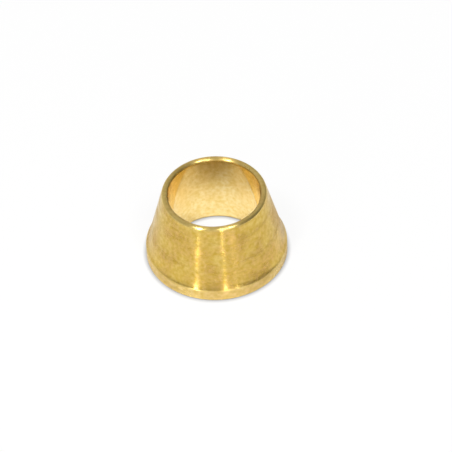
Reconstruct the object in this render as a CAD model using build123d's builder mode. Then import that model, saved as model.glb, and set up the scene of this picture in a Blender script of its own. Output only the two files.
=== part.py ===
"""Compression cone for 8 mm tube, turned from brass bar in one piece.

The tube slides through the bore. A fitting's conical seat closes on the taper while the union nut
pushes on the flat base, so the thin nose is squeezed in and grips the tube.

The base rests on the XY plane, centred on the origin, and the nose points along +Z.
"""

import os
from math import radians, tan

from build123d import *

# Driving dimensions, in millimetres and degrees
tube_diameter = 8.0
tube_clearance = 0.1  # bore over tube, on the diameter
nose_wall = 0.5  # wall at the small end, before its edges are broken
cone_half_angle = 14.0
overall_length = 7.1
nose_dish_angle = 5.0  # the parting tool leaves the small end's face sloping in to the bore
collar_length = 1.05  # straight band at the large end
collar_step = 0.135  # how far the band stands out past the taper's own line, on the radius
flare_height = 0.6  # hollow sweep from the taper out to the collar, measured along the axis
mouth_radius = 0.12  # edge of the bore, at both ends
base_edge_radius = 0.1  # foot of the collar
nose_edge_radius = 0.22  # outer edge of the small end
collar_edge_radius = 0.06  # upper edge of the collar

# Sizes that follow from them
taper_slope = tan(radians(cone_half_angle))
bore_radius = (tube_diameter + tube_clearance) / 2
nose_radius = bore_radius + nose_wall
collar_radius = nose_radius + (overall_length - collar_length) * taper_slope + collar_step
flare_top = collar_length + flare_height
flare_radius = nose_radius + (overall_length - flare_top) * taper_slope
dish_depth = nose_wall * tan(radians(nose_dish_angle))


with BuildPart() as compression_cone:
    # Half of the ring's section: the dished end, the reamed bore, the base, the collar, the taper,
    # and the sweep that joins the last two
    with BuildSketch(Plane.XZ) as half_section:
        with BuildLine():
            inside = Polyline(
                (nose_radius, overall_length),
                (bore_radius, overall_length - dish_depth),
                (bore_radius, 0),
                (collar_radius, 0),
                (collar_radius, collar_length),
            )
            taper = Line(inside @ 0, (flare_radius, flare_top))
            TangentArc(taper @ 1, inside @ 1, tangent=taper % 1)
        make_face()
    revolve(axis=Axis.Z)

    # Rims from the base up: both rims of the base, the collar's upper rim, and the two rims of the nose
    round_edges = compression_cone.edges().filter_by(GeomType.CIRCLE).group_by(Axis.Z)
    base_mouth, base_rim = round_edges[0].sort_by(SortBy.RADIUS)
    collar_rim = round_edges[1]
    nose_mouth, nose_rim = round_edges[-2:]

    fillet([base_mouth, *nose_mouth], mouth_radius)
    fillet(base_rim, base_edge_radius)
    fillet(nose_rim, nose_edge_radius)
    fillet(collar_rim, collar_edge_radius)

compression_cone.part.label = "compression_cone"
compression_cone.part.color = Color(0.86, 0.66, 0.28)

os.makedirs("parts", exist_ok=True)
export_step(compression_cone.part, "parts/compression_cone.step")
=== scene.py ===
# %% [markdown]
# # A brass compression cone
#
# A compression cone is a small tapered ring that slides over a tube. A union nut pushes it into a
# conical seat, its thin nose closes on the tube, and the joint is tight. This one is turned from brass
# bar, so every surface on it was cut while it spun: the shape is one section carried round an axis, and
# the finish is fine lines that run round the same axis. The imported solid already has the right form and
# size. Here it gets the surface that a lathe leaves, a floor, lamps and a camera.

# %% Load the solid
from math import cos, pi, radians, sin

import bpy
import numpy as np
from mathutils import Matrix, Vector


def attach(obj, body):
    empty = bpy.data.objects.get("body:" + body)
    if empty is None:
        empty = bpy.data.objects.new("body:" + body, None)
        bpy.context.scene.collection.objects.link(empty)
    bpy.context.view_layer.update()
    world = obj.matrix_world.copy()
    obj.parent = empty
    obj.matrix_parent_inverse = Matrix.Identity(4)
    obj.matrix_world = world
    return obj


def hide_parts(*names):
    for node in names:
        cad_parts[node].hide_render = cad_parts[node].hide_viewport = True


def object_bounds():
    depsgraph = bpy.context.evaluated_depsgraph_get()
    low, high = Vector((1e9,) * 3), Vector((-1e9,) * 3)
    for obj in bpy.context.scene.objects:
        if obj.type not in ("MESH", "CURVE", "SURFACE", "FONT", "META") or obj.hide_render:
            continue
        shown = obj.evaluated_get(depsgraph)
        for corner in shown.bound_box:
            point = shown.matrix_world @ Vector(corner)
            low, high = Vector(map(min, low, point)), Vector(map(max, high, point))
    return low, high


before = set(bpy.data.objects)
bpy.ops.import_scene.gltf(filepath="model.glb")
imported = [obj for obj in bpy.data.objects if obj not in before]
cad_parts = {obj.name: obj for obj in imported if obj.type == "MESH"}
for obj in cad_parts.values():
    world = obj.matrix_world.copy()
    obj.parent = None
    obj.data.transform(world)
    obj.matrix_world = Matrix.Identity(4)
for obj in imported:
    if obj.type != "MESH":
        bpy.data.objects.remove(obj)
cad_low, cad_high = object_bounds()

MM = 0.001
print("solid, mm:", [round(side / MM, 3) for side in cad_high - cad_low])

# %% [markdown]
# ## The section
#
# To carry a section round an axis we first need the section. It could be typed in again as a list of
# sizes, but then the drawing and the dressed part could drift apart. Every vertex of the solid lies on
# a ring about the Z axis, so its radius and height are a point of the section already. Sorted by their
# bearing from a point inside the collar, those points are the outline, walked once round with the metal
# on the left.

# %% Read the outline from the solid
IN_COLLAR = 0.05  # height of a point inside the collar, as a share of the length

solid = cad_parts["compression_cone"].data
coordinates = np.empty(3 * len(solid.vertices))
solid.vertices.foreach_get("co", coordinates)
x, y, z = coordinates.reshape(-1, 3).T

points = np.column_stack((np.hypot(x, y), z))
bore_radius, collar_radius = points[:, 0].min(), points[:, 0].max()
overall_length = points[:, 1].max()
inside = np.array([(bore_radius + collar_radius) / 2, IN_COLLAR * overall_length])
radial, axial = (points - inside).T
bearing = np.arctan2(axial, radial)
outline = points[np.argsort(bearing)]
print("points:", len(outline))
print("bore and collar radius, mm:", round(bore_radius / MM, 3), round(collar_radius / MM, 3))

# %% [markdown]
# ## Corners only
#
# All the vertices of one ring give the same point of the section, and a straight run holds points that
# add nothing. The first are merged and the second dropped. What is left is a closed loop of true
# corners.

# %% Keep the corners
SAME_PLACE = 0.008 * MM  # points closer than this are one point
STRAIGHT = radians(0.5)  # a smaller turn than this is no corner


def run_lengths(loop):
    """Distance from each point of a closed loop to the next one."""
    return np.linalg.norm(np.roll(loop, -1, axis=0) - loop, axis=1)


def directions(loop):
    """Unit vectors from each point of a closed loop to the next: the difference, divided by its length."""
    return (np.roll(loop, -1, axis=0) - loop) / run_lengths(loop)[:, None]


def turns(loop):
    """Angle turned at each point: the arctangent of the cross product over the dot product of the runs
    before and after it."""
    after = directions(loop)
    before = np.roll(after, 1, axis=0)
    cross = before[:, 0] * after[:, 1] - before[:, 1] * after[:, 0]
    return np.arctan2(cross, (before * after).sum(axis=1))


outline = outline[run_lengths(outline) > SAME_PLACE]
outline = outline[np.abs(turns(outline)) > STRAIGHT]
print("corners in the section:", len(outline))

# %% [markdown]
# ## Smooth edges
#
# A turned edge is a smooth round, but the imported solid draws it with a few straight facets, and metal
# shows each facet as a flat band. A Subdivision modifier could smooth the finished mesh. On a section
# it is simpler to replace each corner by a short curve before the section is carried round: a quadratic
# Bezier curve that starts a little before the corner, ends a little after it, and has the corner as its
# middle control point.

# %% Round the corners
ROUND_STEPS = 4  # points on each curve
NO_LENGTH = 0.0005 * MM  # curves that meet share a point, and one of the two goes


def round_corners(loop):
    """Each corner C becomes (1-t)^2 A + 2t(1-t) C + t^2 B, for t from 0 to 1. A and B lie before and after
    the corner, at half the length of the shorter run that meets there, so neighbouring curves join
    smoothly."""
    after = directions(loop)
    before = np.roll(after, 1, axis=0)
    length = run_lengths(loop)
    cut = np.minimum(length, np.roll(length, 1))[:, None] / 2
    start, end = loop - before * cut, loop + after * cut
    t = np.linspace(0, 1, ROUND_STEPS)[None, :, None]
    curve = (1 - t) ** 2 * start[:, None] + 2 * t * (1 - t) * loop[:, None] + t**2 * end[:, None]
    together = curve.reshape(-1, 2)
    return together[run_lengths(together) > NO_LENGTH]


outline = round_corners(outline)
print("points after rounding:", len(outline))

# %% [markdown]
# ## Rows along the section
#
# The outline's long runs need many rows of vertices, because the lathe's feed marks will be cut into
# them. Each run is divided evenly, closely on the outside where the marks show and more loosely
# elsewhere.

# %% Divide the runs into rows
ROW_OUTSIDE = 0.0375 * MM
ROW_ELSEWHERE = 0.075 * MM
SIDEWAYS = 0.5  # a surface faces sideways if the radial part of its normal is more than this

run_vector = np.roll(outline, -1, axis=0) - outline
run_length = run_lengths(outline)
outside_run = run_vector[:, 1] / run_length > SIDEWAYS
count = np.ceil(run_length / np.where(outside_run, ROW_OUTSIDE, ROW_ELSEWHERE)).astype(int)
run = np.repeat(np.arange(len(count)), count)
share = (np.arange(count.sum()) - np.repeat(np.cumsum(count) - count, count)) / count[run]
row_point = outline[run] + share[:, None] * run_vector[run]
row_along = (np.cumsum(run_length) - run_length)[run] + share * run_length[run]
section_length = run_length.sum()
print("rows:", len(row_point), " section length mm:", round(section_length / MM, 3))

# %% [markdown]
# ## A worn nose
#
# The nose is what fingers and other parts meet first, so its thin rim is rubbed a little rounder than
# the drawing says. Rows there are moved to a mean of their neighbours, which wears a bend and leaves a
# straight run alone. It takes off a few hundredths of a millimetre and never adds any.

# %% Wear the nose
NOSE_WORN = 0.12 * MM  # the bell curve's width


def wear(points, along, reach):
    """Each point becomes the mean of all, weighted by a bell curve of the distance along the section, and
    by the length of section that each point stands for."""
    apart = np.abs(along[:, None] - along[None, :])
    apart = np.minimum(apart, section_length - apart)
    spacing = run_lengths(points)
    stands_for = (spacing + np.roll(spacing, 1)) / 2
    weight = np.exp(-((apart / reach) ** 2)) * stands_for
    return weight @ points / weight.sum(axis=1)[:, None]


sharp_point = row_point
on_nose = row_point[:, 1, None] > overall_length / 2
row_point = np.where(on_nose, wear(row_point, row_along, NOSE_WORN), row_point)
tangent = np.roll(row_point, -1, axis=0) - np.roll(row_point, 1, axis=0)
outward = np.column_stack((tangent[:, 1], -tangent[:, 0]))
row_normal = outward / np.linalg.norm(outward, axis=1)[:, None]
worn_off = np.linalg.norm(row_point - sharp_point, axis=1).max()
print("most metal worn off, mm:", round(worn_off / MM, 4))

# %% [markdown]
# ## Feed marks
#
# A turning tool with a rounded tip moves a little way along the work for each revolution. It leaves a
# shallow scallop one feed wide, which winds round the part as a fine screw line. The scallops are cut
# below the outline, so the part never grows. Their depth differs from one turn to the next, as chips
# and chatter make it on a lathe. The bore was reamed, with a wider feed and shallower marks.

# %% Cut the feed marks
SEGMENTS = 200  # faces round the part
SEED = 8
FEED_TURNED, DEPTH_TURNED = 0.15 * MM, 0.0011 * MM  # per revolution, and the usual depth
FEED_REAMED, DEPTH_REAMED = 0.30 * MM, 0.0005 * MM
DEPTH_LEAST, DEPTH_MOST = 0.5, 1.5  # a single turn's depth, as a share of the usual depth
FADE = 0.12 * MM  # marks run out over this length at the ends of a run

rng = np.random.default_rng(SEED)
reamed_row = row_normal[:, 0] < -SIDEWAYS
feed = np.where(reamed_row, FEED_REAMED, FEED_TURNED)
depth = np.where(reamed_row, DEPTH_REAMED, DEPTH_TURNED)
to_end = np.minimum(share, 1 - share) * run_length[run]
depth = depth * np.clip(to_end / FADE, 0, 1)

angle = np.linspace(0, 2 * pi, SEGMENTS, endpoint=False)
turn = row_along[:, None] / feed[:, None] - angle[None, :] / (2 * pi)
turns_cut = int(np.ceil(turn.max())) + 2  # with one more turn at each end
turn_depth = rng.uniform(DEPTH_LEAST, DEPTH_MOST, turns_cut)
groove = np.floor(turn).astype(int)
scallop = 1 - 4 * (turn - groove - 0.5) ** 2  # a parabola: 1 in the middle of a turn, 0 at its ends
sunk = depth[:, None] * scallop * turn_depth[groove + 1]
radius = row_point[:, 0, None] - sunk * row_normal[:, 0, None]
height = row_point[:, 1, None] - sunk * row_normal[:, 1, None]
vertices = np.stack((radius * np.cos(angle), radius * np.sin(angle), height), axis=-1)
print("deepest mark, mm:", round(sunk.max() / MM, 5))

# %% [markdown]
# ## The mesh
#
# Rows and columns of vertices become four-sided faces, and both directions close on themselves. The map
# gives each corner its share of the way round and along the section. Lathe lines run along the first of
# them, so the same map later tells the shader which way the metal is grained.

# %% Build the turned cone
MAP_NAME = "OFBake"

rows = len(row_point)
index = np.arange(rows * SEGMENTS).reshape(rows, SEGMENTS)
next_row, next_column = np.roll(index, -1, axis=0), np.roll(index, -1, axis=1)
next_both = np.roll(next_row, -1, axis=1)
faces = np.stack((index, next_column, next_both, next_row), axis=-1).reshape(-1, 4)

v_low = row_along / section_length
v_high = np.append(v_low[1:], 1.0)
u_low = np.arange(SEGMENTS) / SEGMENTS
u_high = u_low + 1 / SEGMENTS
u = np.broadcast_to(np.stack((u_low, u_high, u_high, u_low), axis=-1), (rows, SEGMENTS, 4))
v = np.broadcast_to(np.stack((v_low, v_low, v_high, v_high), axis=-1)[:, None], (rows, SEGMENTS, 4))

mesh = bpy.data.meshes.new("turned_cone")
mesh.from_pydata(vertices.reshape(-1, 3), [], faces, shade_flat=False)
corner_map = mesh.uv_layers.new(name=MAP_NAME)
corner_map.uv.foreach_set("vector", np.stack((u, v), axis=-1).astype(np.float32).ravel())

turned_cone = bpy.data.objects.new("turned_cone", mesh)
bpy.context.scene.collection.objects.link(turned_cone)
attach(turned_cone, "root")
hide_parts("compression_cone")
print("faces:", len(faces), " triangles:", 2 * len(faces))

# %% [markdown]
# ## How near an edge is
#
# Edges are rubbed bright and have a finish of their own, so each vertex is told how near it is to one.
# An edge is a place where the section bends outward in a tight curve. The closeness falls off as a bell
# curve along the section, from 1 on the edge itself.

# %% Mark the edges
EDGE_NAME = "near_edge"
EDGE_REACH = 0.08 * MM  # the bell curve's width
EDGE_RADIUS = 0.4 * MM  # a tighter bend than this is an edge
ON_AN_EDGE = 0.5  # a row this close belongs to the edge

curvature = turns(outline) / np.minimum(run_length, np.roll(run_length, 1))
corner_along = (np.cumsum(run_length) - run_length)[curvature > 1 / EDGE_RADIUS]
gap = np.abs(row_along[:, None] - corner_along[None, :])
gap = np.minimum(gap, section_length - gap).min(axis=1)
near_edge = np.exp(-((gap / EDGE_REACH) ** 2))
closeness = mesh.attributes.new(EDGE_NAME, "FLOAT", "POINT")
closeness.data.foreach_set("value", np.repeat(near_edge, SEGMENTS).astype(np.float32))
print("rows on an edge:", int((near_edge > ON_AN_EDGE).sum()))

# %% [markdown]
# ## Helpers for node trees
#
# A node tree can be built by hand in the shader editor. Written as code it can be read from top to
# bottom, and a few short helpers keep it so. One makes a group with named sockets, and the other adds a
# node and fills its inputs.

# %% Make a group, add a node
def new_group(name, inputs, outputs):
    """An empty shader group. A number as default makes a float input, four numbers make a colour input."""
    group = bpy.data.node_groups.new(name, "ShaderNodeTree")
    for label, value in inputs.items():
        kind = "NodeSocketFloat" if isinstance(value, float) else "NodeSocketColor"
        group.interface.new_socket(label, in_out="INPUT", socket_type=kind).default_value = value
    for label, kind in outputs.items():
        group.interface.new_socket(label, in_out="OUTPUT", socket_type=kind)
    return group


def add(tree, kind, links=None, **settings):
    """A node with its settings, and each named input either linked to a socket or given a plain value."""
    node = tree.nodes.new(kind)
    for name, value in settings.items():
        setattr(node, name, value)
    for name, value in (links or {}).items():
        if isinstance(value, bpy.types.NodeSocket):
            tree.links.new(value, node.inputs[name])
        else:
            node.inputs[name].default_value = value
    return node


print("helpers:", new_group.__name__, add.__name__)

# %% [markdown]
# ## Shortcuts
#
# Five kinds of node come up again and again. Each gets a short function that adds the node and hands
# back what comes out of it, so the trees below read almost like sums.

# %% Add the nodes that are needed most
COLOUR_A, COLOUR_B, COLOUR_OUT = 6, 7, 2  # a Mix node's sockets for colours
VALUE_A, VALUE_B, VALUE_OUT = 2, 3, 0  # and those for plain values


def multiply(tree, first, second):
    """The product of two values."""
    return add(tree, "ShaderNodeMath", {0: first, 1: second}, operation="MULTIPLY").outputs[0]


def multiply_add(tree, first, second, third):
    """The product of the first two values, plus the third."""
    links = {0: first, 1: second, 2: third}
    return add(tree, "ShaderNodeMath", links, operation="MULTIPLY_ADD").outputs[0]


def map_range(tree, value, low, high, to_low=0.0, to_high=1.0):
    """A straight line from to_low, at the low value, to to_high, at the high one, and level beyond them."""
    links = {0: value, 1: low, 2: high, 3: to_low, 4: to_high}
    return add(tree, "ShaderNodeMapRange", links).outputs[0]


def noise(tree, place, scale, detail):
    """Soft noise around 0.5, with lumps about one over the scale wide."""
    links = {"Vector": place, "Scale": scale, "Detail": detail}
    return add(tree, "ShaderNodeTexNoise", links).outputs[0]


def mix_colours(tree, share, first, second, blend="MIX"):
    """The first colour where the share is 0, and the blend of both where it is 1."""
    links = {0: share, COLOUR_A: first, COLOUR_B: second}
    return add(tree, "ShaderNodeMix", links, data_type="RGBA", blend_type=blend).outputs[COLOUR_OUT]


shortcuts = (multiply, multiply_add, map_range, noise, mix_colours)
print("shortcuts:", [shortcut.__name__ for shortcut in shortcuts])

# %% [markdown]
# ## Lines that run round the axis
#
# Under a lens a turned surface is a bundle of fine scratches, all of them round the axis. Noise does
# that when it is stretched: it changes quickly along the section and slowly round the part. The place
# along the section is the second coordinate of the map, the place round it comes from X and Y, so no
# seam shows. Three widths of line come out of the group: fine scratches, broad ones, and soft bands
# where the tool cut a little better or worse.

# %% Group: lathe lines
WANDER = 60.0  # how much the lines drift over a metre of X or Y
BROAD_SHARE = 0.13  # scale of the broad lines beside the fine ones
BANDS_PER_MM = 1.5
LINE_DETAIL, BROAD_DETAIL = 2.0, 1.0

lines = new_group(
    "lathe_lines",
    {"Lines per mm": 20.0},
    {"Fine": "NodeSocketFloat", "Broad": "NodeSocketFloat", "Bands": "NodeSocketFloat"},
)
given = add(lines, "NodeGroupInput")
place = add(lines, "ShaderNodeTexCoord").outputs["Object"]
across = add(lines, "ShaderNodeSeparateXYZ", {0: place})
grain_map = add(lines, "ShaderNodeUVMap", uv_map=MAP_NAME).outputs["UV"]
along = add(lines, "ShaderNodeSeparateXYZ", {0: grain_map})
side_x = multiply(lines, across.outputs["X"], WANDER)
side_y = multiply(lines, across.outputs["Y"], WANDER)
section_mm = multiply(lines, along.outputs["Y"], section_length / MM)
line_place = multiply(lines, section_mm, given.outputs["Lines per mm"])
band_place = multiply(lines, section_mm, BANDS_PER_MM)
stretched = add(lines, "ShaderNodeCombineXYZ", {0: side_x, 1: side_y, 2: line_place}).outputs[0]
banded = add(lines, "ShaderNodeCombineXYZ", {0: side_x, 1: side_y, 2: band_place}).outputs[0]
widths = {
    "Fine": noise(lines, stretched, 1.0, LINE_DETAIL),
    "Broad": noise(lines, stretched, BROAD_SHARE, BROAD_DETAIL),
    "Bands": noise(lines, banded, 1.0, LINE_DETAIL),
}
add(lines, "NodeGroupOutput", widths)
print("group:", lines.name, len(lines.nodes), "nodes")

# %% [markdown]
# ## Uneven brass
#
# Brass that has been handled and stored isn't one even yellow. Wide patches turn a little redder where
# a thin oxide has grown, and a fine mottling leaves some grains deeper in colour. Both are noise in
# object coordinates, so they run on from one surface to the next like the metal itself. In the bore a
# painted shade darkens and browns the colour toward the nose, with a ragged edge, where the near wall
# shades the bore. It is a tint that multiplies the colour by more, the higher the place is. Mottling
# and patches also go out as values, to roughen the surface in the same places.

# %% Group: brass tint
PATCH_MM = 2.2  # size of a patch
PATCH_MOVED = (2.1 * MM, 0.7 * MM, -1.1 * MM)  # slides the pattern over the part
PATCH_FROM, PATCH_TO = 0.38, 0.62  # span of the noise from none to full
MOTTLE_MM = 0.32  # size of a spot
MOTTLE_FROM, MOTTLE_TO = 0.30, 0.70
DETAIL = 3.0  # how many finer layers a noise has
# Painted shade: the bore's colour is multiplied by this tint, more toward the nose.
BORE_SHADE_TINT = (0.90, 0.77, 0.52, 1.0)
SHADE_FROM, SHADE_TO = 0.25 * overall_length, overall_length
SHADE_RAGGED = 4.0 * MM  # how far the patches raise or lower the painted shade
WHITE = (1.0, 1.0, 1.0, 1.0)

tint = new_group(
    "brass_tint",
    {"Brass": WHITE, "Oxide": WHITE, "Deep": WHITE, "Painted shade": 0.0},
    {"Colour": "NodeSocketColor", "Mottle": "NodeSocketFloat", "Patch": "NodeSocketFloat"},
)
given = add(tint, "NodeGroupInput")
place = add(tint, "ShaderNodeTexCoord").outputs["Object"]
moved = add(tint, "ShaderNodeMapping", {"Vector": place, "Location": PATCH_MOVED}).outputs[0]
patch = noise(tint, moved, 1 / (PATCH_MM * MM), DETAIL)
mottle = noise(tint, place, 1 / (MOTTLE_MM * MM), DETAIL)
patch_share = map_range(tint, patch, PATCH_FROM, PATCH_TO)
mottle_share = map_range(tint, mottle, MOTTLE_FROM, MOTTLE_TO)
patchy = mix_colours(tint, patch_share, given.outputs["Brass"], given.outputs["Oxide"])
mottled = mix_colours(tint, mottle_share, given.outputs["Deep"], patchy)

# Painted shade: the bore darkens and browns toward the nose, where the near wall shades it; the patches
# make its edge ragged.
place_z = add(tint, "ShaderNodeSeparateXYZ", {0: place}).outputs["Z"]
ragged = multiply_add(tint, patch, SHADE_RAGGED, place_z)
shade_share = map_range(tint, ragged, SHADE_FROM + SHADE_RAGGED / 2, SHADE_TO + SHADE_RAGGED / 2)
painted_shade = multiply(tint, shade_share, given.outputs["Painted shade"])
shaded = mix_colours(tint, painted_shade, mottled, BORE_SHADE_TINT, "MULTIPLY")
add(tint, "NodeGroupOutput", {"Colour": shaded, "Mottle": mottle, "Patch": patch})
print("group:", tint.name, len(tint.nodes), "nodes")

# %% [markdown]
# ## Rubbed edges
#
# Parts like this are tumbled together and shaken about in a bag, so their edges are rubbed brighter
# than the rest. The mesh carries how near each vertex is to an edge. The group breaks that even band up
# with noise, because wear is never even.

# %% Group: rubbed edges
WEAR_MM = 0.5  # size of a rubbed spot
WEAR_FROM, WEAR_TO = 0.35, 0.65
WEAR_LEAST = 0.3  # share of the wear that every place has

rubbed = new_group("rubbed_edges", {"Amount": 1.0}, {"Rubbed": "NodeSocketFloat"})
given = add(rubbed, "NodeGroupInput")
place = add(rubbed, "ShaderNodeTexCoord").outputs["Object"]
near = add(rubbed, "ShaderNodeAttribute", attribute_name=EDGE_NAME)
handling = noise(rubbed, place, 1 / (WEAR_MM * MM), DETAIL)
uneven = map_range(rubbed, handling, WEAR_FROM, WEAR_TO, WEAR_LEAST)
worn = multiply(rubbed, near.outputs["Fac"], uneven)
add(rubbed, "NodeGroupOutput", {"Rubbed": multiply(rubbed, worn, given.outputs["Amount"])})
print("group:", rubbed.name, len(rubbed.nodes), "nodes")

# %% [markdown]
# ## A recipe for grooved brass
#
# Grooves round the axis spread a reflection across them, so a small lamp becomes a long streak down the
# taper. The shader calls that anisotropy, and the map's direction tells it which way the grooves run.
# The roughness follows bands, patches and broad lines, and breaks the streak up. Scratches, grain and
# waves are far too small to model, so they only tilt the light, as a bump.

# %% Write the recipe
BRIGHT_BRASS = (0.90, 0.70, 0.28, 1.0)
RUBBED_AMOUNT = 0.35
SMOOTHER_WHEN_RUBBED = -0.06
ACROSS_THE_GROOVES = 0.25  # a quarter turn from the map's own direction
BAND_SHARE, PATCH_SHARE, BROAD_LINE_SHARE = 0.3, 0.5, 0.2  # what the roughness follows
ROUGH_LOW, ROUGH_HIGH = 0.42, 0.58  # span of the noise that changes the roughness


def brass_finish(
    name, brass, oxide, deep, roughness, rings, anisotropy, per_mm, scratch, grain, wave=0.0, painted_shade=0.0
):
    """A grooved metal. Roughness is a base, plus or minus the rings' change, less where an edge is rubbed.
    Height is the sum of scratches, grain and waves, each a noise times its own depth in metres."""
    material = bpy.data.materials.new(name)
    material.use_nodes = True
    tree = material.node_tree
    line = add(tree, "ShaderNodeGroup", {"Lines per mm": per_mm}, node_tree=lines)
    # The painted shade's share: 1 in the bore, where it darkens the colour toward the nose, 0 elsewhere.
    colours = {"Brass": (*brass, 1.0), "Oxide": (*oxide, 1.0), "Deep": (*deep, 1.0), "Painted shade": painted_shade}
    hue = add(tree, "ShaderNodeGroup", colours, node_tree=tint)
    edge = add(tree, "ShaderNodeGroup", {"Amount": RUBBED_AMOUNT}, node_tree=rubbed)
    colour = mix_colours(tree, edge.outputs["Rubbed"], hue.outputs["Colour"], BRIGHT_BRASS)

    patches = multiply(tree, hue.outputs["Patch"], PATCH_SHARE)
    bands = multiply_add(tree, line.outputs["Bands"], BAND_SHARE, patches)
    ringed = multiply_add(tree, line.outputs["Broad"], BROAD_LINE_SHARE, bands)
    rough = map_range(tree, ringed, ROUGH_LOW, ROUGH_HIGH, roughness - rings, roughness + rings)
    smoothed = multiply_add(tree, edge.outputs["Rubbed"], SMOOTHER_WHEN_RUBBED, rough)

    waves = multiply(tree, line.outputs["Bands"], wave)
    grainy = multiply_add(tree, hue.outputs["Mottle"], grain, waves)
    height = multiply_add(tree, line.outputs["Fine"], scratch, grainy)
    bump = add(tree, "ShaderNodeBump", {"Height": height, "Distance": 1.0, "Strength": 1.0})
    grain_way = add(tree, "ShaderNodeTangent", direction_type="UV_MAP", uv_map=MAP_NAME)

    shader = tree.nodes["Principled BSDF"]
    tree.links.new(colour, shader.inputs["Base Color"])
    tree.links.new(smoothed, shader.inputs["Roughness"])
    tree.links.new(bump.outputs[0], shader.inputs["Normal"])
    tree.links.new(grain_way.outputs[0], shader.inputs["Tangent"])
    shader.inputs["Metallic"].default_value = 1.0
    shader.inputs["Anisotropic"].default_value = anisotropy
    shader.inputs["Anisotropic Rotation"].default_value = ACROSS_THE_GROOVES
    return material


print("recipe:", brass_finish.__name__)

# %% [markdown]
# ## Five finishes
#
# It is all the same brass, but each cut leaves it differently. The taper was turned and its grooves are
# the strongest; the bore was reamed smooth. The two ends were faced, the edges were tumbled round, and
# the collar was turned with a lighter cut. The colours are lit and shaded copies of the brass: palest in
# the bore and on the collar, as a painted reflection of the bright sheet, and deepest on the taper. The
# bore also takes the painted shade toward its nose.

# %% Make the finishes
# Painted light: each finish's brass colour is set lighter or darker for the light it gets, palest in the
# bore and on the collar.
turned = brass_finish(
    "turned_taper", brass=(0.74, 0.545, 0.16), oxide=(0.76, 0.49, 0.16), deep=(0.59, 0.39, 0.06),
    roughness=0.22, rings=0.09, anisotropy=1.0, per_mm=24.0,
    scratch=0.0008 * MM, grain=0.0012 * MM, wave=0.022 * MM,
)
# The bore alone takes the painted shade toward the nose.
reamed = brass_finish(
    "reamed_bore", brass=(1.0, 0.88, 0.52), oxide=(1.0, 0.83, 0.44), deep=(0.86, 0.66, 0.24),
    roughness=0.12, rings=0.03, anisotropy=0.8, per_mm=18.0,
    scratch=0.0002 * MM, grain=0.003 * MM, painted_shade=1.0,
)
faced = brass_finish(
    "faced_end", brass=(0.92, 0.68, 0.25), oxide=(0.92, 0.62, 0.23), deep=(0.76, 0.51, 0.13),
    roughness=0.34, rings=0.05, anisotropy=0.95, per_mm=24.0,
    scratch=0.0006 * MM, grain=0.003 * MM,
)
tumbled = brass_finish(
    "tumbled_edge", brass=(0.86, 0.66, 0.22), oxide=(0.86, 0.61, 0.20), deep=(0.71, 0.49, 0.12),
    roughness=0.34, rings=0.05, anisotropy=0.9, per_mm=24.0,
    scratch=0.0006 * MM, grain=0.002 * MM,
)
collar = brass_finish(
    "turned_collar", brass=(0.82, 0.63, 0.27), oxide=(0.83, 0.59, 0.25), deep=(0.68, 0.48, 0.12),
    roughness=0.34, rings=0.08, anisotropy=0.9, per_mm=24.0,
    scratch=0.0008 * MM, grain=0.002 * MM, wave=0.01 * MM,
)
print("finishes:", turned.name, reamed.name, faced.name, tumbled.name, collar.name)

# %% [markdown]
# ## Which row has which finish
#
# A lathe tool follows the section, so a finish belongs to whole rows of faces. Which way a row faces
# tells how it was cut: inward is the bore, level is an end, upright is the collar, and the rest of the
# outside is the taper. Rows on an edge are tumbled, whichever way they face.

# %% Give each row its finish
TURNED, REAMED, FACED, TUMBLED, COLLAR = 0, 1, 2, 3, 4
LEVEL = 0.9  # an end faces up or down if the Z part of its normal is more than this
STRAIGHT_OUT = 0.99  # the collar faces straight out if the radial part of its normal is more than this

for finish in (turned, reamed, faced, tumbled, collar):
    mesh.materials.append(finish)
row_finish = np.full(rows, TURNED)
row_finish[row_normal[:, 0] > STRAIGHT_OUT] = COLLAR
row_finish[np.abs(row_normal[:, 1]) > LEVEL] = FACED
row_finish[reamed_row] = REAMED
row_finish[near_edge > ON_AN_EDGE] = TUMBLED
mesh.polygons.foreach_set("material_index", np.repeat(row_finish, SEGMENTS).astype(np.int32))
print("rows of each finish:", np.bincount(row_finish))

# %% [markdown]
# ## The floor
#
# The part stands on a wide sheet. A single large face would do, but a grid of faces costs nothing and
# is easier to check in the viewport. The sheet lies just at the foot of the solid.

# %% Lay the floor
FLOOR_HALF = 0.6  # metres from the middle to a side
FLOOR_STEPS = 24

step = np.linspace(-FLOOR_HALF, FLOOR_HALF, FLOOR_STEPS + 1)
grid_x, grid_y = np.meshgrid(step, step)
floor_points = np.stack((grid_x, grid_y, np.full_like(grid_x, cad_low.z)), axis=-1).reshape(-1, 3)
corner = np.arange((FLOOR_STEPS + 1) ** 2).reshape(FLOOR_STEPS + 1, -1)[:-1, :-1]
above = corner + FLOOR_STEPS + 1
floor_faces = np.stack((corner, corner + 1, above + 1, above), axis=-1).reshape(-1, 4)
floor_mesh = bpy.data.meshes.new("floor")
floor_mesh.from_pydata(floor_points, [], floor_faces)
floor = bpy.data.objects.new("floor", floor_mesh)
bpy.context.scene.collection.objects.link(floor)
print("floor faces:", len(floor_faces))

# %% [markdown]
# ## White sheet
#
# In the photo the sheet is so bright that it has almost no shadow. An ordinary diffuse surface would
# look grey beside it. So the camera, and in part the metal, sees a mix of that surface and a white
# glow. The Light Path node tells those rays from the light that bounces. Close to the part the glow is
# darkened by ambient occlusion, and leaves the thin grey line where the metal meets the sheet.

# %% Make the sheet white
SHEET = (0.84, 0.84, 0.84, 1.0)  # the diffuse surface's own colour
WHITE_TO_CAMERA = 0.88  # shares of glow in the mix
WHITE_TO_METAL = 0.12
CONTACT_REACH = 0.4 * MM
CONTACT_SAMPLES = 16

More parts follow.
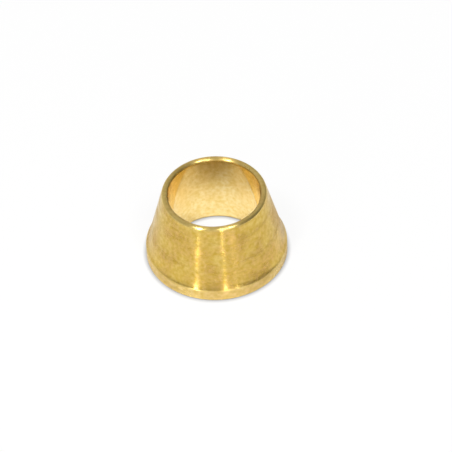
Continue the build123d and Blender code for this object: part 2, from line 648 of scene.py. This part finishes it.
paper = bpy.data.materials.new("white_sheet")
paper.use_nodes = True
tree = paper.node_tree
tree.nodes.remove(tree.nodes["Principled BSDF"])
sheet = add(tree, "ShaderNodeBsdfDiffuse", {"Color": SHEET})
contact = add(tree, "ShaderNodeAmbientOcclusion", {"Distance": CONTACT_REACH}, samples=CONTACT_SAMPLES)
glow = add(tree, "ShaderNodeEmission", {"Color": contact.outputs["Color"], "Strength": 1.0})
ray = add(tree, "ShaderNodeLightPath")
direct_rays = {0: ray.outputs["Is Camera Ray"], 1: ray.outputs["Is Transmission Ray"]}
seen = add(tree, "ShaderNodeMath", direct_rays, operation="MAXIMUM").outputs[0]
seen_share = multiply(tree, seen, WHITE_TO_CAMERA)
glow_share = multiply_add(tree, ray.outputs["Is Glossy Ray"], WHITE_TO_METAL, seen_share)
mixed = add(tree, "ShaderNodeMixShader", {0: glow_share, 1: sheet.outputs[0], 2: glow.outputs[0]})
tree.links.new(mixed.outputs[0], tree.nodes["Material Output"].inputs["Surface"])
floor_mesh.materials.append(paper)
print("sheet:", paper.name)

# %% [markdown]
# ## The room
#
# Polished metal has little colour of its own and mostly shows what stands around it. Here that is a
# plain pale room: white at the horizon and dimmer above, with soft light from above in front and from
# above behind, and brighter on the left than on the right. It depends only on the direction of a ray.
# Behind and above is where Y times Z is large, and in front and above is where it is most negative.

# %% Light the room
SKY_MEAN = 0.28  # strengths, where 1 is white
SKY_LEFT = 0.22  # added on the left and taken off on the right
SKY_BEHIND = 0.58
SKY_FRONT = 0.60
HORIZON = 1.0
HORIZON_FROM, HORIZON_TO = 0.01, 0.13  # the Z of a ray, from horizon to sky

world = bpy.data.worlds.new("pale_room")
bpy.context.scene.world = world
world.use_nodes = True
tree = world.node_tree
direction = add(tree, "ShaderNodeTexCoord")
way = add(tree, "ShaderNodeSeparateXYZ", {0: direction.outputs["Generated"]})
forward = multiply(tree, way.outputs["Y"], -1.0)
back_up = {0: way.outputs["Y"], 1: way.outputs["Z"]}
front_up = {0: forward, 1: way.outputs["Z"]}
behind = add(tree, "ShaderNodeMath", back_up, operation="MULTIPLY", use_clamp=True).outputs[0]
in_front = add(tree, "ShaderNodeMath", front_up, operation="MULTIPLY", use_clamp=True).outputs[0]
plain_sky = multiply_add(tree, way.outputs["X"], -SKY_LEFT, SKY_MEAN)
half_sky = multiply_add(tree, behind, SKY_BEHIND, plain_sky)
sky = multiply_add(tree, in_front, SKY_FRONT, half_sky)
rise = {0: way.outputs["Z"], 1: HORIZON_FROM, 2: HORIZON_TO}
sky_share = add(tree, "ShaderNodeMapRange", rise, interpolation_type="SMOOTHSTEP").outputs[0]
rise_mix = {0: sky_share, VALUE_A: HORIZON, VALUE_B: sky}
strength = add(tree, "ShaderNodeMix", rise_mix).outputs[VALUE_OUT]
tree.links.new(strength, tree.nodes["Background"].inputs["Strength"])
tree.nodes["Background"].inputs["Color"].default_value = WHITE
print("world:", world.name)

# %% [markdown]
# ## Lamps
#
# Three narrow lamps low in front make the streaks on the taper. A streak stands where the surface faces
# halfway between lamp and camera. The camera looks down from high up, so the low lamp's direction
# counts for more: 33 degrees to the left gives the streak 19 degrees to the left. A high lamp would
# give a wide, weak streak, which is why these hang low. Three more, higher up, light the sheet and put
# the bright patches on the nose's far rim. They hang just low enough for the near wall to shade the top
# of the bore.

# %% Hang the lamps
LAMP_DISTANCE = 0.35  # metres, as are a lamp's width and height
STRIP = {"elevation": 20, "tall": 0.16}
KEY = {"elevation": 61, "tall": 0.08}


def lamp(name, azimuth, width, radiance, elevation, tall):
    """A rectangular lamp that looks at the part. Its power is its radiance times pi times its area. The
    azimuth is in degrees to the right of the camera's side, and the elevation in degrees above the
    floor."""
    light = bpy.data.lights.new(name, "AREA")
    light.shape = "RECTANGLE"
    light.size, light.size_y = width, tall
    light.energy = radiance * pi * width * tall
    holder = bpy.data.objects.new(name, light)
    bpy.context.scene.collection.objects.link(holder)
    a, e = radians(azimuth), radians(elevation)
    away = Vector((sin(a) * cos(e), -cos(a) * cos(e), sin(e)))
    holder.location = away * LAMP_DISTANCE
    holder.rotation_mode = "QUATERNION"
    holder.rotation_quaternion = away.to_track_quat("Z", "Y")
    print("lamp:", name, "watts", round(light.energy, 3))


lamp("left_strip", azimuth=-33, width=0.007, radiance=38.0, **STRIP)
lamp("right_strip", azimuth=10, width=0.007, radiance=31.0, **STRIP)
lamp("far_right_strip", azimuth=26, width=0.006, radiance=3.0, **STRIP)
lamp("left_key", azimuth=-46, width=0.02, radiance=96.0, **KEY)
lamp("right_key", azimuth=16, width=0.02, radiance=28.0, **KEY)
lamp("far_right_key", azimuth=40, width=0.025, radiance=58.0, **KEY)

# %% [markdown]
# ## The camera
#
# The photo looks down at the part from 45 degrees, with the frame tipped by almost 3 degrees. The
# outline of the collar fixes the scale: so many pixels across a known width. A long lens from far away
# keeps the sides of the picture free of perspective, as in the photo. The camera is aimed a little
# beside the part, so the part falls on the same pixels and the lens needs no shift.

# %% Place the camera
FRAME_PIXELS = 452
COLLAR_PIXELS = 141.91  # width of the collar in the picture
CENTRE_PIXEL = (215.57, 220.89)  # where the middle of the part falls, from the top left
VIEW_ELEVATION = radians(45.42)
VIEW_ROLL = radians(2.82)
FAR_AWAY = 60  # how many collar radii away the camera stands
CLIP_NEAR, CLIP_FAR = 0.01, 10.0  # shares of the camera's distance

distance = FAR_AWAY * collar_radius
pixel = 2 * collar_radius / COLLAR_PIXELS
back = Vector((0, -cos(VIEW_ELEVATION), sin(VIEW_ELEVATION)))
level_right = Vector((1, 0, 0))
level_up = back.cross(level_right)
right = cos(VIEW_ROLL) * level_right - sin(VIEW_ROLL) * level_up
up = sin(VIEW_ROLL) * level_right + cos(VIEW_ROLL) * level_up
beside = (FRAME_PIXELS / 2 - CENTRE_PIXEL[0]) * pixel
below = (FRAME_PIXELS / 2 - CENTRE_PIXEL[1]) * pixel
aim = (cad_low + cad_high) / 2 + right * beside - up * below
camera_data = bpy.data.cameras.new("camera")
camera_data.lens = camera_data.sensor_width * distance / (pixel * FRAME_PIXELS)
camera_data.clip_start, camera_data.clip_end = CLIP_NEAR * distance, CLIP_FAR * distance
camera = bpy.data.objects.new("camera", camera_data)
camera.matrix_world = Matrix((right, up, back)).transposed().to_4x4()
camera.location = aim + back * distance
bpy.context.scene.collection.objects.link(camera)
bpy.context.scene.camera = camera
bpy.context.scene.view_settings.view_transform = "Standard"
print("lens mm:", round(camera_data.lens, 1))
